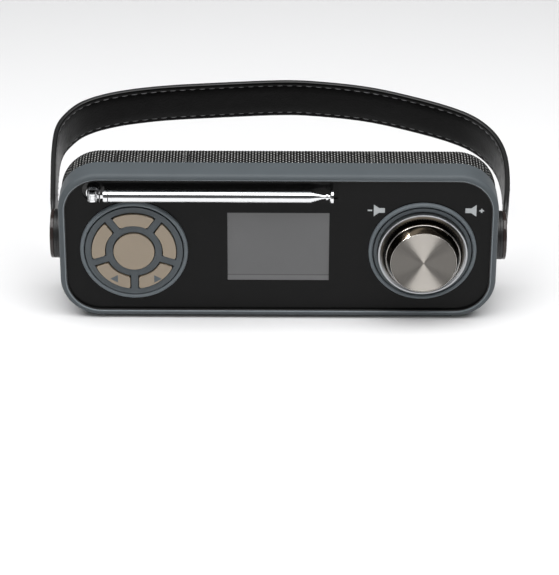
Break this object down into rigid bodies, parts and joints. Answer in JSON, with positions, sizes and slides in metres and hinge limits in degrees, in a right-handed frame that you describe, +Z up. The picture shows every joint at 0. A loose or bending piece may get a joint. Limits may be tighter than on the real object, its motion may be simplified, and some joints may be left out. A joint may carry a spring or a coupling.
{
  "type": "portable radio",
  "caption": "Portable digital radio with a leather carrying strap, telescopic antenna, round key pad, colour display, push-and-turn knob and a cloth-covered back.",
  "frame": {"origin": "middle of the rubber foot's underside, below the middle of the case's depth", "axes": "+X to the listener's right, +Y to the back, +Z up; the display faces -Y"},
  "size_m": [0.2547, 0.151, 0.0875],
  "materials": {
    "bezel_paint": "satin painted",
    "panel_black": "glossy",
    "display_glass": "grey tinted",
    "display_metal": "satin",
    "ring_paint": "satin painted",
    "switch_black": "matte",
    "board_green": "solder mask",
    "chip_metal": "satin",
    "screw_steel": "satin",
    "shell_plastic": "fine texture",
    "speaker_cloth": "ribbed weave with light flecks",
    "foot_rubber": "matte",
    "speaker_steel": "black",
    "cone_paper": "matte",
    "cell_jacket": "satin",
    "contact_metal": "bright",
    "socket_plastic": "matte",
    "key_metal": "satin taupe",
    "knob_chrome": "polished",
    "knob_spun": "spun",
    "skirt_metal": "knurled",
    "shaft_steel": "turned",
    "mast_chrome": "polished",
    "hub_gloss": "glossy",
    "boss_black": "satin",
    "strap_leather": "grained, stitched edges"
  },
  "bodies": {
    "case": {"front_bezel": "bezel_paint", "front_panel": "panel_black", "display_window": "display_glass", "display_module": "display_metal", "button_ring": "ring_paint", "button_frame": "ring_paint", "key_board": "board_green", "tact_switches": "switch_black", "dial_ring": "ring_paint", "dial_well": "ring_paint", "encoder_body": "chip_metal", "encoder_nut": "screw_steel", "main_board": "board_green", "board_parts": "chip_metal", "board_screws": "screw_steel", "rear_shell": "shell_plastic", "cloth_cover": "speaker_cloth", "rear_panel": "shell_plastic", "case_screws": "screw_steel", "base_foot": "foot_rubber", "speaker_frames": "speaker_steel", "speaker_cones": "cone_paper", "battery_tray": "shell_plastic", "battery_cells": "cell_jacket", "battery_contacts": "contact_metal", "dc_socket": "socket_plastic", "aux_socket": "socket_plastic", "jack_board": "board_green", "antenna_socket": "socket_plastic", "strap_bosses": "boss_black", "pivot_screws": "screw_steel"},
    "door": {"battery_door": "shell_plastic"},
    "key_mode_body": {"key_mode": "key_metal"},
    "key_1_body": {"key_1": "key_metal"},
    "key_2_body": {"key_2": "key_metal"},
    "key_3_body": {"key_3": "key_metal"},
    "key_4_body": {"key_4": "key_metal"},
    "key_5_body": {"key_5": "key_metal"},
    "push_stem": {"switch_plunger": "contact_metal"},
    "knob": {"encoder_shaft": "shaft_steel", "knob_shell": "knob_chrome", "knob_face": "knob_spun", "knob_skirt": "skirt_metal"},
    "mast_foot": {"antenna_base": "mast_chrome", "antenna_pin": "mast_chrome"},
    "mast_1": {"antenna_tube_1": "mast_chrome"},
    "mast_2": {"antenna_tube_2": "mast_chrome"},
    "mast_3": {"antenna_tube_3": "mast_chrome"},
    "mast_4": {"antenna_tube_4": "mast_chrome"},
    "mast_5": {"antenna_tube_5": "mast_chrome"},
    "mast_6": {"antenna_tube_6": "mast_chrome", "antenna_tip": "mast_chrome"},
    "strap": {"hub_plates": "boss_black", "hub_caps": "hub_gloss", "carry_strap": "strap_leather"}
  },
  "joints": [
    {"name": "strap_swing", "type": "hinge", "parent": "case", "child": "strap", "pos_m": [0, 0, 0.0415], "axis": [1, 0, 0], "range_deg": [-28, 180]},
    {"name": "battery_door_hinge", "type": "hinge", "parent": "case", "child": "door", "pos_m": [0, 0.02055, 0.0379], "axis": [-1, 0, 0], "range_deg": [0, 95]},
    {"name": "key_mode_press", "type": "slide", "parent": "case", "child": "key_mode_body", "axis": [0, 1, 0], "range_m": [0, 0.0006], "stiffness_N_per_m": 800},
    {"name": "key_1_press", "type": "slide", "parent": "case", "child": "key_1_body", "axis": [0, 1, 0], "range_m": [0, 0.0006], "stiffness_N_per_m": 800},
    {"name": "key_2_press", "type": "slide", "parent": "case", "child": "key_2_body", "axis": [0, 1, 0], "range_m": [0, 0.0006], "stiffness_N_per_m": 800},
    {"name": "key_3_press", "type": "slide", "parent": "case", "child": "key_3_body", "axis": [0, 1, 0], "range_m": [0, 0.0006], "stiffness_N_per_m": 800},
    {"name": "key_4_press", "type": "slide", "parent": "case", "child": "key_4_body", "axis": [0, 1, 0], "range_m": [0, 0.0006], "stiffness_N_per_m": 800},
    {"name": "key_5_press", "type": "slide", "parent": "case", "child": "key_5_body", "axis": [0, 1, 0], "range_m": [0, 0.0006], "stiffness_N_per_m": 800},
    {"name": "knob_push", "type": "slide", "parent": "case", "child": "push_stem", "axis": [0, 1, 0], "range_m": [0, 0.0005], "stiffness_N_per_m": 2500},
    {"name": "knob_turn", "type": "hinge", "parent": "push_stem", "child": "knob", "pos_m": [0.0777, -0.0328, 0.0416], "axis": [0, -1, 0], "continuous": true},
    {"name": "mast_swivel", "type": "hinge", "parent": "case", "child": "mast_foot", "pos_m": [-0.0987, -0.0243, 0.077], "axis": [0, -1, 0], "range_deg": [0, 180]},
    {"name": "mast_tilt", "type": "hinge", "parent": "mast_foot", "child": "mast_1", "pos_m": [-0.0987, -0.0243, 0.077], "axis": [0, 0, -1], "range_deg": [0, 90]},
    {"name": "mast_slide_2", "type": "slide", "parent": "mast_1", "child": "mast_2", "axis": [1, 0, 0], "range_m": [0, 0.088]},
    {"name": "mast_slide_3", "type": "slide", "parent": "mast_2", "child": "mast_3", "axis": [1, 0, 0], "range_m": [0, 0.088]},
    {"name": "mast_slide_4", "type": "slide", "parent": "mast_3", "child": "mast_4", "axis": [1, 0, 0], "range_m": [0, 0.088]},
    {"name": "mast_slide_5", "type": "slide", "parent": "mast_4", "child": "mast_5", "axis": [1, 0, 0], "range_m": [0, 0.088]},
    {"name": "mast_slide_6", "type": "slide", "parent": "mast_5", "child": "mast_6", "axis": [1, 0, 0], "range_m": [0, 0.088]}
  ],
  "couplings": [
    {"joint": "mast_slide_3", "follows": "mast_slide_2", "ratio": 1},
    {"joint": "mast_slide_4", "follows": "mast_slide_2", "ratio": 1},
    {"joint": "mast_slide_5", "follows": "mast_slide_2", "ratio": 1},
    {"joint": "mast_slide_6", "follows": "mast_slide_2", "ratio": 1}
  ]
}
